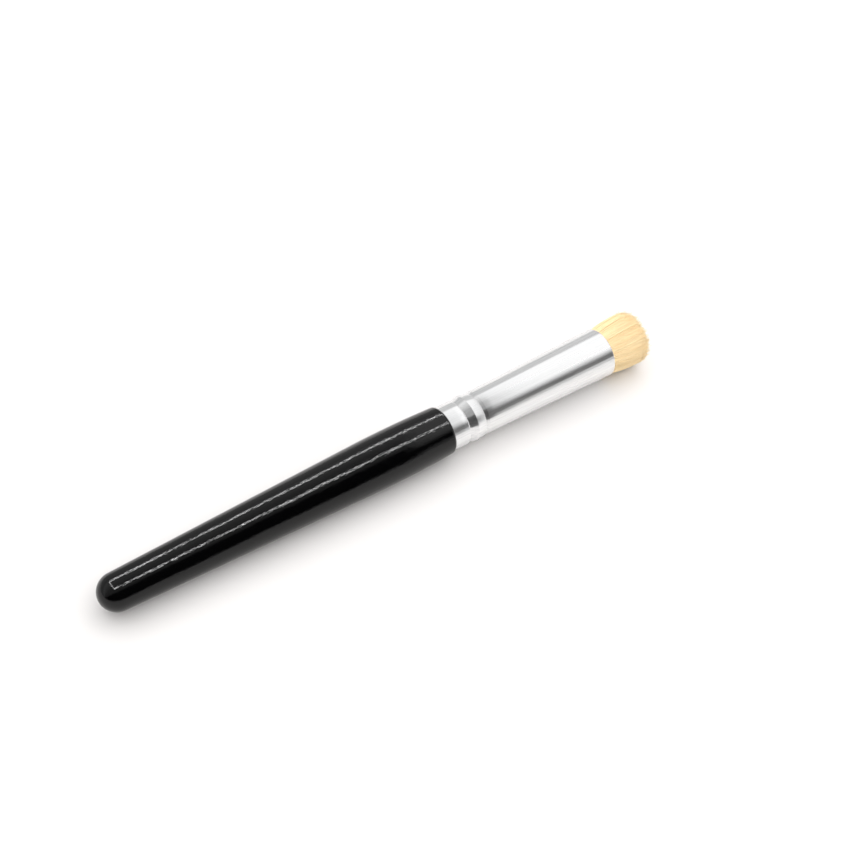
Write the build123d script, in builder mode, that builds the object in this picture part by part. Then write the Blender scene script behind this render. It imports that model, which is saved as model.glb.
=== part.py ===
from build123d import *
import os
from math import atan2, degrees

# Round stencil brush: a lacquered handle, an aluminium ferrule and a domed tuft of bristles.
#
# The brush lies along X with its butt at -X and its tuft at +X. The origin is under the middle of
# its length, on the surface that it lies on. Every piece is a body of revolution about the brush's
# axis, so each is drawn as a half outline of (station, radius), where a station is the distance
# from the butt. All sizes are millimetres.

# Handle: a round butt, a straight taper, a crowned swell and a rounded shoulder
handle_length = 89.3
butt_radius = 4.45
taper_angle = 1.68
crown_station = 66.0
shoulder_radius = 6.08
shoulder_round = 0.75

# Ferrule, a thin tube that widens from its neck to its mouth
ferrule_length = 48.3
ferrule_wall = 0.35
neck_radius = 5.6
barrel_radius = 5.55
mouth_radius = 6.35
lip_round = 0.12

# Crimp: two rolled grooves with a bead between them, as distances from the ferrule's handle end
groove_1_start = 4.2
bead_start = 6.6
groove_2_start = 8.8
barrel_start = 10.1
groove_wall_length = 0.45
groove_1_radius = 5.12
groove_2_radius = 5.2
bead_radius = 5.85
roll_round = 0.28

# Tenon, the handle's end inside the ferrule, and the glue around it
tenon_length = 22.0
tenon_radius = 5.15
tenon_chamfer = 0.8
glue_film = 0.08
glue_length = 19.0

# Bristles: a bundle set in resin inside the ferrule, and the tuft that stands out of its mouth
tuft_length = 11.6
tuft_base_radius = 5.93
tuft_bulge_radius = 6.9
tuft_bulge_distance = 7.8
tuft_shoulder_round = 3.2
tuft_clearance = 0.1
root_length = 21.0
root_waist_radius = 4.9
root_waist_length = 4.5
root_swell_length = 2.5

# Resin around the root of the bundle, and the thread tied round it
resin_depth_behind_root = 2.5
resin_reach = 5.5
thread_diameter = 0.36
thread_gap = 0.02
thread_turns = 5
thread_start = 1.2

# Stations of the main faces, and the pose of the brush's axis
mouth_station = handle_length + ferrule_length
brush_length = mouth_station + tuft_length
root_station = mouth_station - root_length
axis_height = tuft_bulge_radius
butt_point = (-brush_length / 2, 0, axis_height)
brush_plane = Plane(origin=butt_point, x_dir=(1, 0, 0), z_dir=(0, -1, 0))
brush_axis = Axis(butt_point, (1, 0, 0))


def barrel_radius_at(station):
    """Outer radius of the ferrule's tapered barrel at a station."""
    barrel_length = ferrule_length - barrel_start
    along = (station - handle_length - barrel_start) / barrel_length
    return barrel_radius + (mouth_radius - barrel_radius) * along


def bore_radius_at(station):
    """Inner radius of the ferrule's tapered barrel at a station."""
    return barrel_radius_at(station) - ferrule_wall


def crimped_outline(neck, groove_1, bead, groove_2, barrel, end_station, end_radius):
    """A line along the neck, down into the first groove, over the bead, through the second groove
    and along the barrel to its end."""
    first = handle_length + groove_1_start
    second = handle_length + bead_start
    third = handle_length + groove_2_start
    fourth = handle_length + barrel_start
    return FilletPolyline(
        (handle_length, neck),
        (first, neck),
        (first + groove_wall_length, groove_1),
        (second - groove_wall_length, groove_1),
        (second, bead),
        (third, bead),
        (third + groove_wall_length, groove_2),
        (fourth - groove_wall_length, groove_2),
        (fourth, barrel),
        (end_station, end_radius),
        radius=roll_round,
    )


def tube_outline(inset, end_station):
    """The ferrule's crimped outline, moved in by inset and ended at a station."""
    return crimped_outline(
        neck_radius - inset,
        groove_1_radius - inset,
        bead_radius - inset,
        groove_2_radius - inset,
        barrel_radius - inset,
        end_station,
        barrel_radius_at(end_station) - inset,
    )


def tenon_outline(end_station):
    """The tenon's outline: a straight cylinder, squeezed by the two grooves."""
    squeeze = ferrule_wall + glue_film
    return crimped_outline(
        tenon_radius,
        groove_1_radius - squeeze,
        tenon_radius,
        groove_2_radius - squeeze,
        tenon_radius,
        end_station,
        tenon_radius,
    )


# Handle: round butt, taper, swell, rounded shoulder and the tenon inside the ferrule
with BuildPart() as handle:
    with BuildSketch(brush_plane):
        with BuildLine():
            butt = CenterArc((butt_radius, 0), butt_radius, 180, taper_angle - 90)
            taper_length = crown_station - (butt @ 1).X
            taper = PolarLine(butt @ 1, taper_length, taper_angle, length_mode=LengthMode.HORIZONTAL)
            crown_end = (handle_length - shoulder_round, shoulder_radius)
            crown = TangentArc(taper @ 1, crown_end, tangent=taper % 1)
            shoulder = TangentArc(crown @ 1, (handle_length, neck_radius), tangent=crown % 1)
            Line(shoulder @ 1, (handle_length, tenon_radius))
            tenon_end = handle_length + tenon_length
            tenon_side = tenon_outline(tenon_end - tenon_chamfer)
            Polyline(
                tenon_side @ 1,
                (tenon_end, tenon_radius - tenon_chamfer),
                (tenon_end, 0),
                (0, 0),
            )
        make_face()
    revolve(axis=brush_axis)
handle.part.label = "handle"

# Ferrule: seamless tapered tube, rolled into the tenon near the handle, with a softened lip
with BuildPart() as ferrule:
    with BuildSketch(brush_plane):
        with BuildLine():
            outside = tube_outline(0, mouth_station)
            inside = tube_outline(ferrule_wall, mouth_station)
            Line(outside @ 0, inside @ 0)
            Line(outside @ 1, inside @ 1)
        make_face()
    revolve(axis=brush_axis)
    lip_edges = ferrule.edges().filter_by(GeomType.CIRCLE).group_by(Axis.X)[-1]
    fillet(lip_edges, lip_round)
ferrule.part.label = "ferrule"

# Glue: the film between the tenon and the ferrule, thicker where the barrel widens
with BuildPart() as tenon_adhesive:
    glue_end = handle_length + glue_length
    with BuildSketch(brush_plane):
        with BuildLine():
            glue_outside = tube_outline(ferrule_wall, glue_end)
            glue_inside = tenon_outline(glue_end)
            Line(glue_outside @ 0, glue_inside @ 0)
            Line(glue_outside @ 1, glue_inside @ 1)
        make_face()
    revolve(axis=brush_axis)
tenon_adhesive.part.label = "tenon_adhesive"

# Bundle inside the ferrule: a tied waist at its root, then full width to the mouth
with BuildPart() as bristle_root:
    waist_end = root_station + root_waist_length
    full_width = waist_end + root_swell_length
    root_front = mouth_station - tuft_clearance
    with BuildSketch(brush_plane):
        with BuildLine():
            Polyline(
                (root_station, 0),
                (root_station, root_waist_radius),
                (waist_end, root_waist_radius),
                (full_width, bore_radius_at(full_width)),
                (root_front, bore_radius_at(root_front)),
                (root_front, 0),
                close=True,
            )
        make_face()
    revolve(axis=brush_axis)
bristle_root.part.label = "bristle_root"

# Thread: separate turns side by side around the waist
with BuildPart() as binding_thread:
    for turn in range(thread_turns):
        turn_station = root_station + thread_start + turn * (thread_diameter + thread_gap)
        turn_radius = root_waist_radius + thread_diameter / 2 + thread_gap
        with BuildSketch(brush_plane):
            with Locations((turn_station, turn_radius)):
                Circle(thread_diameter / 2)
        revolve(axis=brush_axis)
binding_thread.part.label = "binding_thread"

# Resin: a plug behind the bundle that reaches forward around its waist and the thread
with BuildPart() as resin_plug:
    resin_back = root_station - resin_depth_behind_root
    resin_front = root_station + resin_reach
    with BuildSketch(brush_plane):
        with BuildLine():
            Polyline(
                (resin_back, 0),
                (resin_back, bore_radius_at(resin_back)),
                (resin_front, bore_radius_at(resin_front)),
                (resin_front, 0),
                close=True,
            )
        make_face()
    revolve(axis=brush_axis)
    add(bristle_root.part, mode=Mode.SUBTRACT)
    add(binding_thread.part, mode=Mode.SUBTRACT)
resin_plug.part.label = "resin_plug"

# Tuft: flares out of the mouth to a bulge, turns over a round shoulder and closes in a shallow
# dome. The dome's radius is the one that meets the shoulder's arc without a corner.
with BuildPart() as bristle_tuft:
    tuft_base = mouth_station + tuft_clearance
    bulge_station = mouth_station + tuft_bulge_distance
    shoulder_height = tuft_bulge_radius - tuft_shoulder_round
    bulge_to_tip = brush_length - bulge_station
    dome_radius = (bulge_to_tip**2 + shoulder_height**2 - tuft_shoulder_round**2) / (
        2 * (bulge_to_tip - tuft_shoulder_round)
    )
    dome_angle = degrees(atan2(shoulder_height, dome_radius - bulge_to_tip))
    with BuildSketch(brush_plane):
        with BuildLine():
            side = TangentArc(
                (bulge_station, tuft_bulge_radius), (tuft_base, tuft_base_radius), tangent=(-1, 0)
            )
            tuft_shoulder = CenterArc(
                (bulge_station, shoulder_height), tuft_shoulder_round, 90, dome_angle - 90
            )
            dome = CenterArc((brush_length - dome_radius, 0), dome_radius, dome_angle, -dome_angle)
            Polyline(dome @ 1, (tuft_base, 0), side @ 1)
        make_face()
    revolve(axis=brush_axis)
bristle_tuft.part.label = "bristle_tuft"

os.makedirs("parts", exist_ok=True)
export_step(handle.part, "parts/handle.step")
export_step(ferrule.part, "parts/ferrule.step")
export_step(tenon_adhesive.part, "parts/tenon_adhesive.step")
export_step(bristle_root.part, "parts/bristle_root.step")
export_step(binding_thread.part, "parts/binding_thread.step")
export_step(resin_plug.part, "parts/resin_plug.step")
export_step(bristle_tuft.part, "parts/bristle_tuft.step")
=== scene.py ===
import math

import bpy
import numpy as np
from mathutils import Matrix, Vector


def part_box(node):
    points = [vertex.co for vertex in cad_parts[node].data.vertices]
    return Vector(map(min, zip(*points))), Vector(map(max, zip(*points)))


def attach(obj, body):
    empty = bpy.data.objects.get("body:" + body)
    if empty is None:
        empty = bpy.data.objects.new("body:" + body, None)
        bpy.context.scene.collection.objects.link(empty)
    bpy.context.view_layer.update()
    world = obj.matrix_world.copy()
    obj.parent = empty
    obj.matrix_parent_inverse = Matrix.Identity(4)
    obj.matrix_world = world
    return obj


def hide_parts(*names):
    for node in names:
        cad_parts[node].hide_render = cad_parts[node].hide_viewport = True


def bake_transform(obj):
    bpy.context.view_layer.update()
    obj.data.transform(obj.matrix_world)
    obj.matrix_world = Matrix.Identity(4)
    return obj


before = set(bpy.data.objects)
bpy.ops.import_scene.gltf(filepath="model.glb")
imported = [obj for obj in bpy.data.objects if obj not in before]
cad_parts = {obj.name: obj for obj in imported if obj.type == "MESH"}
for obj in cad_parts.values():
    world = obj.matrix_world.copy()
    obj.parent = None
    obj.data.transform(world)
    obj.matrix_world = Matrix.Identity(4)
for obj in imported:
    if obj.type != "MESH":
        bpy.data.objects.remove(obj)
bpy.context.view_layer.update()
random = np.random.default_rng(7)

# Round stencil brush. Metres, in the frame of the CAD part: the brush lies along X, with its butt
# at -X and its tuft at +X.

# Where the pieces are, read from the CAD part
tuft_low, tuft_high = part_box("bristle_tuft")
ferrule_low, ferrule_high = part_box("ferrule")
handle_low, handle_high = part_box("handle")
mouth_x = ferrule_high.x
tip_x = tuft_high.x
axis_z = (tuft_low.z + tuft_high.z) / 2
bulge_radius = (tuft_high.z - tuft_low.z) / 2

# Camera
CAMERA_POSITION = Vector((-0.11866, -0.15906, 0.25049))
CAMERA_TARGET = Vector((0.01202, 0.00255, 0.0069))
CAMERA_ROLL = math.radians(5.39)
CAMERA_LENS = 56.62
CAMERA_SENSOR = 36.0

# Handle's outline, as distances from its butt and radii about the brush's axis
BUTT_RADIUS = 0.00445
TAPER_ANGLE = math.radians(1.68)
CROWN_DISTANCE = 0.066
HANDLE_LENGTH = 0.0893
SHOULDER_RADIUS = 0.00608
SHOULDER_LENGTH = 0.00075
TENON_RADIUS = 0.00515
TENON_CHAMFER = 0.0008

# Ferrule's outline, as distances from its handle end
NECK_RADIUS = 0.0056
BARREL_RADIUS = 0.00555
WALL = 0.00035
LIP_ROUND = 0.00012
GROOVE_1 = (0.0042, 0.0066, 0.00508)
GROOVE_2 = (0.0089, 0.0101, 0.00518)
GROOVE_WALL = 0.00032
BEAD_RADII = (0.00585, 0.00558)
ROLL_ROUND = 0.0002
GLUE_FILM = 0.00008

# Longest stretch of an outline between two rings of a surface of revolution
LONGEST_STRETCH = 0.002

# Tuft: how the bristles fan out of the mouth, and the round edge and shallow dome of their tips
MOUTH_BUNDLE_RADIUS = 0.00588
SPREAD_DISTANCE = 0.0080
EDGE_DISTANCE = 0.0100
EDGE_ROUND = 0.0016
ROOT_DEPTH = 0.0012
CORE_DEPTH = 0.0012
CORE_NARROWING = 0.94
PLACE_JITTER = 0.008
ANGLE_JITTER = 0.02
MIDDLE_SHADE = 0.5
BRISTLE_TIP_SHARE = 0.6
JUST_INSIDE = 0.999

# Locks: how finely they vary, in radians across the bundle's radius, how far they turn about the
#  axis, and how much painted shade they add to their bristles' shades, darker on the locks whose ends
#  sit further back
LOCK_WAVES = (8, 44)
LOCK_TURN = 0.007
LOCK_PAINTED_SHADE = 0.15

# Bristles round the outside of the tuft, from this share of its radius outwards
OUTER_SHARE = 0.86
OUTER_BRISTLES = 1500
OUTER_RINGS = 9
OUTER_SIDES = 5
BRISTLE_RADIUS = 0.000085
BRISTLE_RAGGED = 0.0007
BRISTLE_LEAN = 0.006
BRISTLE_CONTRAST = 0.13

# Bristles inside, of which only the ends are made
INNER_BRISTLES = 1900
INNER_RINGS = 4
INNER_SIDES = 6
INNER_RADIUS = 0.000125
INNER_LENGTH = 0.0022
INNER_RAGGED = 0.0006
INNER_CONTRAST = 0.5

# Fine hairs that stray past the others
STRAY_BRISTLES = 1600
STRAY_RINGS = 7
STRAY_SIDES = 3
STRAY_RADIUS = 0.000045
STRAY_LENGTH = 0.006
STRAY_LONGEST = 0.001
STRAY_EXTRA = 0.00026
STRAY_SPLAY = 0.03
STRAY_SHAPE = 1.5
STRAY_RAGGED = 0.0004
STRAY_LEAN = 0.02

# Studio
FLOOR_REACH = 6.0
FLOOR_CORNERS = 64
BACKDROP_REACH = 7.0
TUBE_DISTANCE = 0.6
TUBE_ANGLES = (math.radians(37), math.radians(-14))
TUBE_ENDS = (-0.25, 0.75)
TUBE_WIDTH = 0.024
TUBE_RADIANCE = 34.0
TUBE_JOINT_RADIANCE = 20.0


def add_camera():
    """The camera, turned a little about its own view direction."""
    forward = (CAMERA_TARGET - CAMERA_POSITION).normalized()
    level_right = forward.cross(Vector((0, 0, 1))).normalized()
    level_up = level_right.cross(forward)
    right = level_right * math.cos(CAMERA_ROLL) + level_up * math.sin(CAMERA_ROLL)
    up = level_up * math.cos(CAMERA_ROLL) - level_right * math.sin(CAMERA_ROLL)
    data = bpy.data.cameras.new("camera")
    data.lens = CAMERA_LENS
    data.sensor_width = CAMERA_SENSOR
    data.clip_start = 0.005
    data.clip_end = 50.0
    camera = bpy.data.objects.new("camera", data)
    turn = Matrix((right, up, -forward)).transposed().to_4x4()
    camera.matrix_world = Matrix.Translation(CAMERA_POSITION) @ turn
    bpy.context.scene.collection.objects.link(camera)
    bpy.context.scene.camera = camera


# Shader node helpers


def new_material(name):
    """An empty node material and its output node."""
    material = bpy.data.materials.new(name)
    material.use_nodes = True
    material.node_tree.nodes.clear()
    output = material.node_tree.nodes.new("ShaderNodeOutputMaterial")
    return material, material.node_tree, output


def add_node(tree, kind, links=None, **sockets):
    """A node with its input values set, and its inputs linked to other nodes' outputs."""
    node = tree.nodes.new(kind)
    for name, value in sockets.items():
        node.inputs[name.replace("_", " ")].default_value = value
    for name, source in (links or {}).items():
        tree.links.new(source, node.inputs[name])
    return node


def stretched_coordinates(tree, scale):
    """Object coordinates, scaled along each axis."""
    place = tree.nodes.new("ShaderNodeTexCoord")
    mapping = add_node(tree, "ShaderNodeMapping", {"Vector": place.outputs["Object"]})
    mapping.inputs["Scale"].default_value = scale
    return mapping.outputs["Vector"]


def noise(tree, scale, detail=2.0, roughness=0.5):
    """A noise value whose grain is set by the scale along each axis, in cycles per metre."""
    vector = stretched_coordinates(tree, scale)
    texture = add_node(
        tree, "ShaderNodeTexNoise", {"Vector": vector}, Scale=1.0, Detail=detail, Roughness=roughness
    )
    return texture.outputs["Fac"]


def ramp(tree, source, stops):
    """A colour ramp with (position, colour) stops."""
    node = tree.nodes.new("ShaderNodeValToRGB")
    elements = node.color_ramp.elements
    while len(elements) < len(stops):
        elements.new(0.5)
    for element, (position, colour) in zip(elements, stops):
        element.position = position
        element.color = (*colour, 1.0)
    tree.links.new(source, node.inputs["Fac"])
    return node.outputs["Color"]


def value_range(tree, source, low, high, from_low=0.3, from_high=0.7):
    """A value moved from one range to another."""
    node = add_node(tree, "ShaderNodeMapRange", {"Value": source})
    node.inputs["From Min"].default_value = from_low
    node.inputs["From Max"].default_value = from_high
    node.inputs["To Min"].default_value = low
    node.inputs["To Max"].default_value = high
    return node.outputs["Result"]


def bump(tree, height, depth, under=None):
    """A bump of a real depth in metres, over another bump if there is one."""
    links = {"Height": height}
    if under is not None:
        links["Normal"] = under
    return add_node(tree, "ShaderNodeBump", links, Strength=1.0, Distance=depth).outputs["Normal"]


# Materials


def lacquer_material():
    """Thick black lacquer: a mirror coat with the slow waves and fine grain of sprayed paint."""
    material, tree, output = new_material("black_lacquer_coat")
    waves = noise(tree, (110, 620, 620), detail=1.0)
    peel = noise(tree, (650, 6000, 6000), detail=1.0)
    dust = noise(tree, (5200, 5200, 5200))
    normal = bump(tree, waves, depth=0.00003)
    normal = bump(tree, peel, depth=0.000014, under=normal)
    dulled = noise(tree, (420, 900, 900), detail=3.0, roughness=0.6)
    base = add_node(
        tree,
        "ShaderNodeBsdfPrincipled",
        {
            "Normal": normal,
            "Roughness": value_range(tree, dulled, 0.03, 0.13, 0.42, 0.62),
            "Base Color": ramp(
                tree, dust, [(0.6, (0.0006, 0.0006, 0.0007)), (0.8, (0.003, 0.003, 0.003))]
            ),
        },
        IOR=1.38,
    )
    tree.links.new(base.outputs["BSDF"], output.inputs["Surface"])
    return material


def aluminium_material():
    """Drawn and polished aluminium: a clear mirror under a haze that is spread round the tube by
    fine lines along its length, with a few rubbed patches."""
    material, tree, output = new_material("polished_aluminium_tube")
    lines = noise(tree, (4, 3000, 3000))
    faint_lines = noise(tree, (3, 1300, 1300))
    normal = bump(tree, lines, depth=0.0000005)
    normal = bump(tree, faint_lines, depth=0.000002, under=normal)
    tangent = tree.nodes.new("ShaderNodeTangent")
    tangent.direction_type = "RADIAL"
    tangent.axis = "X"
    rubs = noise(tree, (60, 300, 300), detail=5.0, roughness=0.7)
    tint = ramp(tree, rubs, [(0.35, (0.86, 0.865, 0.87)), (0.6, (0.93, 0.93, 0.93))])
    mirror = add_node(
        tree,
        "ShaderNodeBsdfPrincipled",
        {
            "Normal": normal,
            "Base Color": tint,
            "Roughness": value_range(tree, rubs, 0.07, 0.13),
        },
        Metallic=1.0,
    )
    haze = add_node(
        tree,
        "ShaderNodeBsdfPrincipled",
        {
            "Normal": normal,
            "Base Color": tint,
            "Roughness": value_range(tree, rubs, 0.40, 0.50),
            "Tangent": tangent.outputs["Tangent"],
        },
        Metallic=1.0,
        Anisotropic=0.85,
    )
    mix = tree.nodes.new("ShaderNodeMixShader")
    tree.links.new(value_range(tree, faint_lines, 0.25, 0.40), mix.inputs["Fac"])
    tree.links.new(mirror.outputs["BSDF"], mix.inputs[1])
    tree.links.new(haze.outputs["BSDF"], mix.inputs[2])
    tree.links.new(mix.outputs["Shader"], output.inputs["Surface"])
    return material


def bristle_material(name, dark, middle, light):
    """Natural bristle: each hair has its own shade, which is its own random tone plus painted shade
    on the locks that sit further back, with fine streaks along its length.
    """
    material, tree, output = new_material(name)
    shade = tree.nodes.new("ShaderNodeAttribute")
    shade.attribute_name = "shade"
    streaks = noise(tree, (160, 4200, 4200), detail=3.0)
    both = tree.nodes.new("ShaderNodeMath")
    both.operation = "MULTIPLY_ADD"
    tree.links.new(streaks, both.inputs[0])
    both.inputs[1].default_value = 0.5
    tree.links.new(value_range(tree, shade.outputs["Fac"], -0.1, 0.6, 0.0, 1.0), both.inputs[2])
    colour = ramp(tree, both.outputs["Value"], [(0.05, dark), (0.45, middle), (0.85, light)])
    hair = add_node(
        tree,
        "ShaderNodeBsdfPrincipled",
        {
            "Base Color": colour,
            "Roughness": value_range(tree, streaks, 0.38, 0.55),
            "Normal": bump(tree, streaks, depth=0.000004),
        },
        IOR=1.5,
    )
    tree.links.new(hair.outputs["BSDF"], output.inputs["Surface"])
    return material


def thread_material():
    """Waxed thread: pale twisted strands with a dull shine."""
    material, tree, output = new_material("waxed_thread_twist")
    strands = noise(tree, (3000, 900, 900))
    colour = ramp(tree, strands, [(0.35, (0.62, 0.58, 0.50)), (0.65, (0.88, 0.85, 0.78))])
    thread = add_node(
        tree,
        "ShaderNodeBsdfPrincipled",
        {
            "Base Color": colour,
            "Roughness": value_range(tree, strands, 0.5, 0.75),
            "Normal": bump(tree, strands, depth=0.00002),
        },
        Sheen_Weight=0.3,
    )
    tree.links.new(thread.outputs["BSDF"], output.inputs["Surface"])
    return material


def resin_material(name, pale, deep, low_roughness, high_roughness):
    """Set resin or glue: a cloudy colour with small bubbles and sinks in its surface."""
    material, tree, output = new_material(name)
    clouds = noise(tree, (300, 300, 300), detail=3.0)
    pits = noise(tree, (1400, 1400, 1400))
    resin = add_node(
        tree,
        "ShaderNodeBsdfPrincipled",
        {
            "Base Color": ramp(tree, clouds, [(0.35, deep), (0.65, pale)]),
            "Roughness": value_range(tree, pits, low_roughness, high_roughness),
            "Normal": bump(tree, pits, depth=0.00003),
        },
        IOR=1.55,
        Coat_Weight=0.4,
    )
    tree.links.new(resin.outputs["BSDF"], output.inputs["Surface"])
    return material


def floor_material():
    """A plain pale table with the slightest mottling."""
    material, tree, output = new_material("pale_floor")
    mottle = noise(tree, (30, 30, 30), detail=4.0)
    floor = add_node(
        tree,
        "ShaderNodeBsdfPrincipled",
        {
            "Base Color": ramp(
                tree, mottle, [(0.3, (0.755, 0.743, 0.738)), (0.7, (0.77, 0.759, 0.755))]
            )
        },
        Roughness=0.7,
    )
    tree.links.new(floor.outputs["BSDF"], output.inputs["Surface"])
    return material


# Surfaces of revolution

ON_AXIS = 1e-7


def rounded(points, radius, steps=6):
    """A line of points through the given ones, with each corner between them rounded to a radius."""
    corners = [Vector(point) for point in points]
    line = [corners[0]]
    for before, corner, after in zip(corners, corners[1:], corners[2:]):
        back = (before - corner).normalized()
        ahead = (after - corner).normalized()
        half = back.angle(ahead) / 2
        centre = corner + (back + ahead).normalized() * radius / math.sin(half)
        first = corner + back * radius / math.tan(half) - centre
        last = corner + ahead * radius / math.tan(half) - centre
        line += [centre + first.slerp(last, step / steps) * radius for step in range(steps + 1)]
    return line + [corners[-1]]


def arc(start, heading, end, steps):
    """Points on the arc that leaves start at a heading angle and reaches end, without start."""
    start, end = Vector(start), Vector(end)
    normal = Vector((-math.sin(heading), math.cos(heading)))
    chord = end - start
    radius = chord.length_squared / (2 * chord.dot(normal))
    centre = start + normal * radius
    first, last = start - centre, end - centre
    turns = [first.slerp(last, step / steps) for step in range(1, steps + 1)]
    return [centre + turn * first.length for turn in turns]


def divided(points, step):
    """The same line with its long stretches cut into pieces no longer than step."""
    line = [points[0]]
    for before, after in zip(points, points[1:]):
        pieces = max(1, math.ceil((after - before).length / step))
        line += [before.lerp(after, piece / pieces) for piece in range(1, pieces + 1)]
    return line


def lathe(name, outline, material, segments=192, loop=False):
    """A surface of revolution about the brush's axis, from (x, radius) pairs. An end that is on the
    axis closes to a point, and a loop joins the outline's end to its start."""
    around = np.arange(segments) * 2 * math.pi / segments
    points, rows = [], []
    for x, radius in outline:
        first = len(points)
        if radius < ON_AXIS:
            points.append((x, 0.0, axis_z))
            rows.append([first] * segments)
        else:
            ring = zip(radius * np.cos(around), axis_z + radius * np.sin(around))
            points += [(x, y, z) for y, z in ring]
            rows.append(list(range(first, first + segments)))
    if loop:
        rows.append(rows[0])
    faces = []
    for row, following in zip(rows, rows[1:]):
        for i in range(segments):
            j = (i + 1) % segments
            corners = [row[i], row[j], following[j], following[i]]
            faces.append(list(dict.fromkeys(corners)))
    mesh = bpy.data.meshes.new(name)
    mesh.from_pydata(points, [], faces)
    mesh.polygons.foreach_set("use_smooth", np.ones(len(mesh.polygons), bool))
    mesh.set_sharp_from_angle(angle=math.radians(40))
    mesh.materials.append(material)
    mesh.update()
    piece = bpy.data.objects.new(name, mesh)
    bpy.context.scene.collection.objects.link(piece)
    return piece


# Handle and ferrule


def crimped_line(neck, groove_1, bead, groove_2, barrel, end):
    """Along the neck, through the two rolled grooves with the bead between, and along the barrel
    to its end, as (distance from the handle's shoulder, radius). Each groove is a steep step down
    and a slope back up, and the bead has a radius at each of its ends."""
    start_1, end_1, _ = GROOVE_1
    start_2, end_2, _ = GROOVE_2
    points = (
        (0.0, neck),
        (start_1, neck),
        (start_1 + GROOVE_WALL, groove_1),
        (end_1, bead[0]),
        (start_2, bead[1]),
        (start_2 + GROOVE_WALL, groove_2),
        (end_2, barrel),
        end,
    )
    return rounded(points, ROLL_ROUND)


def add_handle(material):
    """The lacquered handle: round butt, taper, crowned swell, rounded shoulder and hidden tenon."""
    butt_turn = np.linspace(math.pi, math.pi / 2 + TAPER_ANGLE, 25)
    outline = [
        Vector((BUTT_RADIUS * (1 + math.cos(turn)), BUTT_RADIUS * math.sin(turn)))
        for turn in butt_turn
    ]
    taper_run = CROWN_DISTANCE - outline[-1].x
    outline.append(outline[-1] + Vector((taper_run, taper_run * math.tan(TAPER_ANGLE))))
    crown_end = (HANDLE_LENGTH - SHOULDER_LENGTH, SHOULDER_RADIUS)
    crown = arc(outline[-1], TAPER_ANGLE, crown_end, 24)
    # An arc ends at twice its chord's angle less the angle at which it starts
    heading = 2 * math.atan2(crown[-1].y - outline[-1].y, crown[-1].x - outline[-1].x) - TAPER_ANGLE
    shoulder = arc(crown_end, heading, (HANDLE_LENGTH, NECK_RADIUS), 10)
    squeeze = WALL + GLUE_FILM
    end = handle_high.x - handle_low.x - HANDLE_LENGTH
    tenon = crimped_line(
        TENON_RADIUS,
        GROOVE_1[2] - squeeze,
        (TENON_RADIUS, TENON_RADIUS),
        GROOVE_2[2] - squeeze,
        TENON_RADIUS,
        (end - TENON_CHAMFER, TENON_RADIUS),
    )
    outline += crown + shoulder
    outline += [point + Vector((HANDLE_LENGTH, 0)) for point in tenon]
    outline.append(Vector((HANDLE_LENGTH + end, TENON_RADIUS - TENON_CHAMFER)))
    outline.append(Vector((HANDLE_LENGTH + end, 0)))
    outline = [(handle_low.x + point.x, point.y) for point in divided(outline, LONGEST_STRETCH)]
    piece = lathe("lacquered_handle", outline, material)
    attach(piece, "brush")
    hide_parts("handle")
    return piece


def add_ferrule(material):
    """The aluminium tube: neck, two rolled grooves, a tapered barrel and a softened lip."""
    length = ferrule_high.x - ferrule_low.x
    mouth = (ferrule_high.z - ferrule_low.z) / 2
    outside, inside = [
        crimped_line(
            NECK_RADIUS - inset,
            GROOVE_1[2] - inset,
            [radius - inset for radius in BEAD_RADII],
            GROOVE_2[2] - inset,
            BARREL_RADIUS - inset,
            (length - 2 * LIP_ROUND, mouth - inset),
        )
        for inset in (0.0, WALL)
    ]
    lip_corners = (outside[-1], (length, mouth), (length, mouth - WALL), inside[-1])
    lip = rounded(lip_corners, LIP_ROUND)
    outline = divided(outside + lip[1:] + inside[-2::-1], LONGEST_STRETCH)
    outline = [(ferrule_low.x + point.x, point.y) for point in outline]
    piece = lathe("drawn_ferrule", outline, material, loop=True)
    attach(piece, "brush")
    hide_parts("ferrule")


# Tuft


def tip_distance(radius):
    """How far from the mouth the tuft's surface is, at each distance from the axis."""
    length = tip_x - mouth_x
    beyond = length - EDGE_DISTANCE
    corner = bulge_radius - EDGE_ROUND
    dome = (beyond**2 + corner**2 - EDGE_ROUND**2) / (2 * (beyond - EDGE_ROUND))
    shoulder = EDGE_DISTANCE + np.sqrt(np.maximum(EDGE_ROUND**2 - (radius - corner) ** 2, 0))
    cap = length - dome + np.sqrt(dome**2 - radius**2)
    return np.where(radius > corner, np.minimum(shoulder, cap), cap)


def fan(distance):
    """How much wider the bundle is at a distance from the mouth than at the mouth."""
    share = np.clip(distance / SPREAD_DISTANCE, 0, 1)
    return 1 + (bulge_radius / MOUTH_BUNDLE_RADIUS - 1) * (1 - (1 - share) ** 2)


def spread_over_disc(count, low, high):
    """Evenly spread polar places between two shares of the bundle's radius."""
    place = (np.arange(count) + 0.5) / count
    share = np.sqrt(low**2 + (high**2 - low**2) * place)
    angle = np.arange(count) * math.pi * (3 - math.sqrt(5))
    share = np.clip(share + random.normal(0, PLACE_JITTER, count), 0, 1)
    angle = angle + random.normal(0, ANGLE_JITTER, count)
    return share, angle


def lock_value(share, angle, waves=24):
    """A smooth value for each place, that neighbouring bristles share, so that they form locks."""
    total = np.zeros(len(share))
    for _ in range(waves):
        heading, phase = random.uniform(0, 2 * math.pi, 2)
        along = share * np.cos(angle - heading)
        total += np.sin(random.uniform(*LOCK_WAVES) * along + phase)
    return total / math.sqrt(waves)


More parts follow.
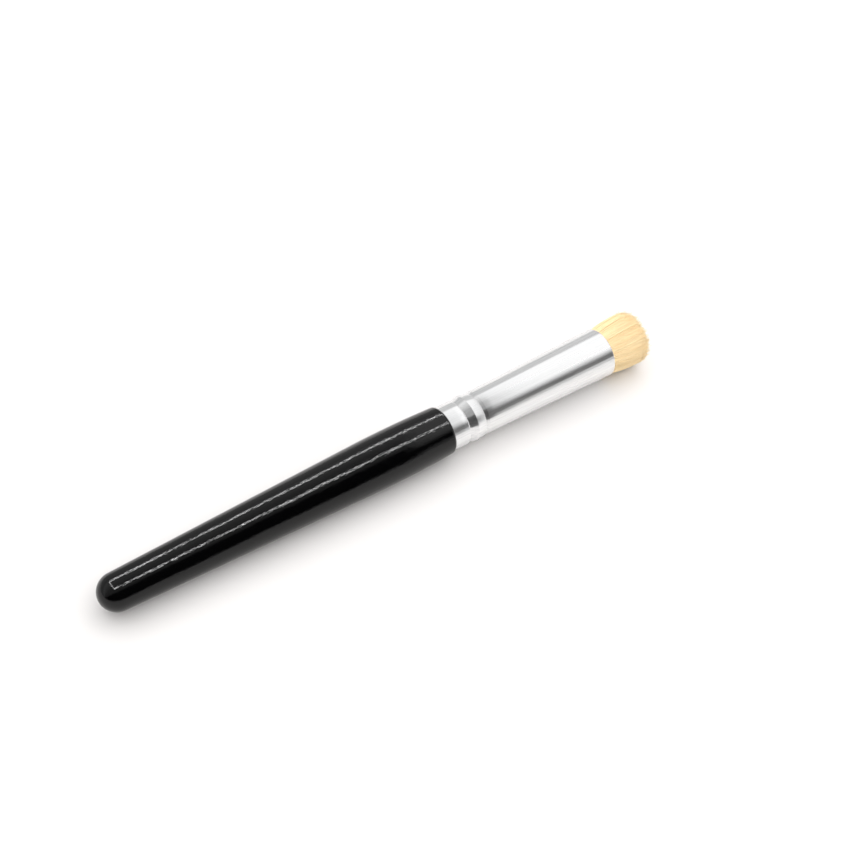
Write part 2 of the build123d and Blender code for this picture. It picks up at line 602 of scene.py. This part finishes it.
def bristle_paths(share, angle, start, rings, ragged, lean, contrast):
    """Centre lines of bristles from start to the tuft's surface, and each one's shade: its own random
    tone plus painted shade, darker on the locks whose ends sit further back. Their ends are uneven by
    about the ragged distance."""
    lock = lock_value(share, angle)
    tip_radius = np.minimum(share, JUST_INSIDE) * bulge_radius
    ends = tip_distance(tip_radius) - BRISTLE_RADIUS
    ends = ends + np.clip(lock, -1, 1) * ragged * 0.5 + random.uniform(-ragged, 0, len(share))
    along = np.linspace(0, 1, rings)
    distance = start[:, None] + (ends - start)[:, None] * along[None, :]
    radius = share[:, None] * (MOUTH_BUNDLE_RADIUS - BRISTLE_RADIUS) * fan(distance)
    free = np.clip(distance / SPREAD_DISTANCE, 0, None) ** 2
    turn = lock_value(share, angle) * LOCK_TURN + random.normal(0, lean, len(share))
    theta = angle[:, None] + turn[:, None] * free
    inward = 1 - np.abs(random.normal(0, lean * 0.6, len(share)))[:, None] * free
    paths = np.stack(
        [
            mouth_x + distance,
            radius * inward * np.cos(theta),
            axis_z + radius * inward * np.sin(theta),
        ],
        axis=2,
    )
    # Each bristle's shade is its own random tone plus painted shade from its lock: shorter locks,
    # whose tips sit further back, are painted darker.
    tone_and_painted_shade = LOCK_PAINTED_SHADE * lock + random.normal(0, 1, len(share))
    return paths, np.clip(MIDDLE_SHADE + contrast * tone_and_painted_shade, 0, 1)


def set_shade(mesh, values):
    """Each point's shade value, which the bristles' material reads; on the bristles it holds their
    random tone and painted shade.
    """
    attribute = mesh.attributes.new("shade", "FLOAT", "POINT")
    attribute.data.foreach_set("value", values.astype(np.float32))


def rods(name, paths, shade, sides, material, radius):
    """One mesh of many tapered rods that run roughly along X, each closed at its tip."""
    count, rings, _ = paths.shape
    taper = np.linspace(0, 1, rings) ** 2
    widths = radius * (1 - (1 - BRISTLE_TIP_SHARE) * taper)
    around = np.arange(sides) * 2 * math.pi / sides
    ring = np.stack([np.zeros(sides), np.cos(around), np.sin(around)], axis=1)
    points = paths[:, :, None, :] + widths[None, :, None, None] * ring[None, None, :, :]
    index = np.arange(count * rings * sides).reshape(count, rings, sides)
    following = np.roll(index, -1, axis=2)
    quads = np.stack(
        [index[:, :-1], following[:, :-1], following[:, 1:], index[:, 1:]], axis=-1
    ).reshape(-1, 4)
    faces = quads.tolist() + index[:, -1, :].tolist()
    mesh = bpy.data.meshes.new(name)
    mesh.from_pydata(points.reshape(-1, 3).tolist(), [], faces)
    set_shade(mesh, np.repeat(shade, rings * sides))
    mesh.polygons.foreach_set("use_smooth", np.ones(len(mesh.polygons), bool))
    mesh.materials.append(material)
    mesh.update()
    piece = bpy.data.objects.new(name, mesh)
    bpy.context.scene.collection.objects.link(piece)
    return piece


def tuft_core(material):
    """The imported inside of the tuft, a little below the bristles' tips."""
    side = np.linspace(-ROOT_DEPTH, EDGE_DISTANCE, 12)
    side_radius = MOUTH_BUNDLE_RADIUS * fan(side) * CORE_NARROWING
    cap_radius = bulge_radius * CORE_NARROWING * np.cos(np.linspace(0, math.pi / 2, 14)[1:])
    cap = tip_distance(cap_radius / CORE_NARROWING) - CORE_DEPTH
    distances = np.concatenate([[-ROOT_DEPTH], side, cap])
    radii = np.concatenate([[0], side_radius, cap_radius])
    core = lathe("tuft_core", list(zip(mouth_x + distances, radii)), material, segments=64)
    set_shade(core.data, np.full(len(core.data.vertices), MIDDLE_SHADE))
    return core


def outer_bristles(material):
    """Whole bristles round the outside, from inside the mouth to their tips."""
    share, angle = spread_over_disc(OUTER_BRISTLES, OUTER_SHARE, 1.0)
    start = np.full(OUTER_BRISTLES, -ROOT_DEPTH)
    paths, shade = bristle_paths(
        share, angle, start, OUTER_RINGS, BRISTLE_RAGGED, BRISTLE_LEAN, BRISTLE_CONTRAST
    )
    return rods("outer_bristles", paths, shade, OUTER_SIDES, material, BRISTLE_RADIUS)


def inner_bristles(material):
    """The ends of the bristles inside, packed over the dome."""
    share, angle = spread_over_disc(INNER_BRISTLES, 0.0, OUTER_SHARE)
    start = tip_distance(share * bulge_radius) - INNER_LENGTH
    paths, shade = bristle_paths(
        share, angle, start, INNER_RINGS, INNER_RAGGED, BRISTLE_LEAN, INNER_CONTRAST
    )
    return rods("inner_bristles", paths, shade, INNER_SIDES, material, INNER_RADIUS)


def stray_bristles(material):
    """Fine hairs that splay out and reach a little past the others, but not below the table."""
    share = np.sqrt(random.uniform(0.3, 1.0, STRAY_BRISTLES))
    angle = random.uniform(0, 2 * math.pi, STRAY_BRISTLES)
    start = tip_distance(share * bulge_radius * JUST_INSIDE) - STRAY_LENGTH
    paths, shade = bristle_paths(
        share, angle, start, STRAY_RINGS, STRAY_RAGGED, STRAY_LEAN, BRISTLE_CONTRAST
    )
    along = np.linspace(0, 1, STRAY_RINGS)
    splay = 1 + random.gamma(STRAY_SHAPE, STRAY_SPLAY, STRAY_BRISTLES)[:, None] * along**3
    extra = random.gamma(STRAY_SHAPE, STRAY_EXTRA, STRAY_BRISTLES)
    longer = np.minimum(extra, STRAY_LONGEST)
    paths[:, :, 0] += longer[:, None] * along
    paths[:, :, 1] *= splay
    paths[:, :, 2] = np.maximum(axis_z + (paths[:, :, 2] - axis_z) * splay, STRAY_RADIUS)
    return rods("stray_bristles", paths, shade, STRAY_SIDES, material, STRAY_RADIUS)


def add_tuft(material):
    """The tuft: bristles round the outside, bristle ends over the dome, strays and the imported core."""
    outer = outer_bristles(material)
    inner = inner_bristles(material)
    stray = stray_bristles(material)
    core = tuft_core(material)
    for piece in (outer, inner, stray, core):
        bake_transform(piece)
    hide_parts("bristle_tuft")


# Stage


def lowest_place(node):
    """Where a CAD node comes closest to the table, on the brush's own plane."""
    lowest = min((v.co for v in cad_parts[node].data.vertices), key=lambda point: point.z)
    return Vector((lowest.x, 0, lowest.z))


def add_floor():
    """A wide floor that touches the handle's swell and the tuft, the two places the brush lies on."""
    swell = lowest_place("handle")
    touch = lowest_place("bristle_tuft")
    slope = math.atan2(swell.z - touch.z, touch.x - swell.x)
    turns = [2 * math.pi * step / FLOOR_CORNERS for step in range(FLOOR_CORNERS)]
    rim = [(FLOOR_REACH * math.cos(turn), FLOOR_REACH * math.sin(turn), 0) for turn in turns]
    mesh = bpy.data.meshes.new("floor")
    mesh.from_pydata(rim, [], [list(range(len(rim)))])
    mesh.materials.append(floor_material())
    floor = bpy.data.objects.new("floor", mesh)
    bpy.context.scene.collection.objects.link(floor)
    floor.matrix_world = Matrix.Translation(touch) @ Matrix.Rotation(slope, 4, "Y")


def area_light(name, place, target, width, length, radiance):
    """A rectangular lamp aimed at a point, its length along X, with the given brightness."""
    data = bpy.data.lights.new(name, "AREA")
    data.shape = "RECTANGLE"
    data.size = length
    data.size_y = width
    data.energy = radiance * math.pi * width * length
    lamp = bpy.data.objects.new(name, data)
    bpy.context.scene.collection.objects.link(lamp)
    back = (Vector(place) - Vector(target)).normalized()
    along = Vector((1, 0, 0))
    along = (along - back * along.dot(back)).normalized()
    across = back.cross(along)
    turn = Matrix((along, across, back)).transposed().to_4x4()
    lamp.matrix_world = Matrix.Translation(place) @ turn
    lamp.visible_camera = False
    return lamp


def add_tube_lamps(mirror):
    """Two thin lamps over the table, joined at one end, that light one piece only. It mirrors them
    as thin lines."""
    receivers = bpy.data.collections.new("tube_lamps_light")
    receivers.objects.link(mirror)
    start, end = TUBE_ENDS
    middle = (start + end) / 2
    places = [
        Vector((middle, TUBE_DISTANCE * math.sin(angle), TUBE_DISTANCE * math.cos(angle)))
        for angle in TUBE_ANGLES
    ]
    below = Vector((middle, 0, 0))
    lamps = [
        area_light(f"tube_{number}", place, below, TUBE_WIDTH, end - start, TUBE_RADIANCE)
        for number, place in enumerate(places)
    ]
    joint = (places[0] + places[1]) / 2
    joint.x = start
    span = (places[0] - places[1]).length
    lamps.append(area_light("tube_joint", joint, (0, 0, 0), span, TUBE_WIDTH, TUBE_JOINT_RADIANCE))
    for lamp in lamps:
        lamp.light_linking.receiver_collection = receivers


def add_soft_lights():
    """Very wide suns: one overhead that lights the brush and all of its floor evenly, and a fill
    from the near side that keeps the brush's shadow pale."""
    suns = (
        ("overhead", (0.14, -0.05, 1.0), 105, 2.45, (1, 0.99, 0.98)),
        ("fill", (0.05, -0.7, 0.7), 60, 0.7, (1, 0.98, 0.965)),
    )
    for name, towards, spread, strength, colour in suns:
        data = bpy.data.lights.new(name, "SUN")
        data.energy = strength
        data.angle = math.radians(spread)
        data.color = colour
        light = bpy.data.objects.new(name, data)
        light.rotation_euler = Vector(towards).to_track_quat("Z", "Y").to_euler()
        light.visible_glossy = False
        bpy.context.scene.collection.objects.link(light)


# Brightness of the surroundings at angles about the brush's length, in degrees from straight up
# and positive on the far side. The first list is for directions that the handle mirrors, the
# second for directions closer to the brush's length, which the ferrule mirrors. The directions
# closest to its length have one level. Each change is between two values of a direction's X.
BESIDE_HANDLE = (
    (-110, 0.45),
    (-90, 0.50),
    (-86, 0.004),
    (-38, 0.004),
    (-33, 0.38),
    (0, 0.45),
    (25, 0.80),
    (46, 1.0),
    (54, 0.58),
    (86, 0.58),
    (94, 0.80),
)
BESIDE_FERRULE = (
    (-110, 0.45),
    (-79, 0.62),
    (-76, 0.02),
    (-60, 0.02),
    (-42, 1.0),
    (-33, 1.25),
    (46, 1.25),
    (54, 0.58),
    (86, 0.58),
    (94, 0.80),
)
END_LEVEL = 0.62
FERRULE_BEGINS = (0.405, 0.43)
END_BEGINS = (0.56, 0.72)
BRIGHTEST = 1.3


def mix_node(tree, share):
    """A mix of two colours by a share, whose colours are still to be set."""
    node = tree.nodes.new("ShaderNodeMix")
    node.data_type = "RGBA"
    tree.links.new(share, node.inputs[0])
    return node


def add_world():
    """Pale surroundings in bands about the brush's length, with a dark band low on the near side."""
    world = bpy.data.worlds.new("studio")
    bpy.context.scene.world = world
    world.use_nodes = True
    tree = world.node_tree
    tree.nodes.clear()
    output = tree.nodes.new("ShaderNodeOutputWorld")
    place = tree.nodes.new("ShaderNodeTexCoord")
    parts = add_node(tree, "ShaderNodeSeparateXYZ", {"Vector": place.outputs["Generated"]})
    along = parts.outputs["X"]
    angle = tree.nodes.new("ShaderNodeMath")
    angle.operation = "ARCTAN2"
    tree.links.new(parts.outputs["Y"], angle.inputs[0])
    tree.links.new(parts.outputs["Z"], angle.inputs[1])
    turn = value_range(tree, angle.outputs["Value"], 0.0, 1.0, -math.pi, math.pi)
    sides = mix_node(tree, value_range(tree, along, 0, 1, *FERRULE_BEGINS))
    for levels, socket in ((BESIDE_HANDLE, sides.inputs[6]), (BESIDE_FERRULE, sides.inputs[7])):
        stops = [(degrees / 360 + 0.5, [level / BRIGHTEST] * 3) for degrees, level in levels]
        tree.links.new(ramp(tree, turn, stops), socket)
    whole = mix_node(tree, value_range(tree, along, 0, 1, *END_BEGINS))
    tree.links.new(sides.outputs[2], whole.inputs[6])
    whole.inputs[7].default_value = (END_LEVEL, END_LEVEL, END_LEVEL, 1)
    background = add_node(
        tree, "ShaderNodeBackground", {"Color": whole.outputs[2]}, Strength=BRIGHTEST
    )
    tree.links.new(background.outputs["Background"], output.inputs["Surface"])


def add_backdrop():
    """A white dome far behind everything that only shows as the background."""
    turns = np.linspace(math.pi, 0, 33)
    outline = [(BACKDROP_REACH * math.cos(t), BACKDROP_REACH * math.sin(t)) for t in turns]
    material, tree, output = new_material("backdrop_glow")
    glow = add_node(tree, "ShaderNodeEmission", Color=(1, 0.995, 0.99, 1), Strength=0.98)
    tree.links.new(glow.outputs["Emission"], output.inputs["Surface"])
    backdrop = lathe("backdrop", outline, material, segments=64)
    backdrop.visible_diffuse = False
    backdrop.visible_glossy = False
    backdrop.visible_transmission = False
    backdrop.visible_shadow = False


def dress_cad_nodes(bristle):
    """The surface of each piece that is shown as it is in the CAD part."""
    looks = {
        "bristle_root": bristle,
        "binding_thread": thread_material(),
        "resin_plug": resin_material(
            "amber_resin", (0.66, 0.45, 0.18), (0.48, 0.30, 0.10), 0.15, 0.3
        ),
        "tenon_adhesive": resin_material(
            "pale_glue", (0.86, 0.83, 0.72), (0.74, 0.70, 0.56), 0.2, 0.4
        ),
    }
    for name, material in looks.items():
        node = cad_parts[name]
        node.data.materials.clear()
        node.data.materials.append(material)


add_camera()
add_world()
add_backdrop()
add_floor()
add_soft_lights()
tuft_bristle = bristle_material(
    "cream_hair", (0.93, 0.64, 0.34), (0.98, 0.78, 0.46), (1.0, 0.88, 0.60)
)
bound_bristle = bristle_material(
    "bound_hair", (0.52, 0.36, 0.18), (0.74, 0.58, 0.34), (0.84, 0.70, 0.46)
)
handle = add_handle(lacquer_material())
add_tube_lamps(handle)
add_ferrule(aluminium_material())
add_tuft(tuft_bristle)
dress_cad_nodes(bound_bristle)
bpy.context.scene.view_settings.view_transform = "Standard"
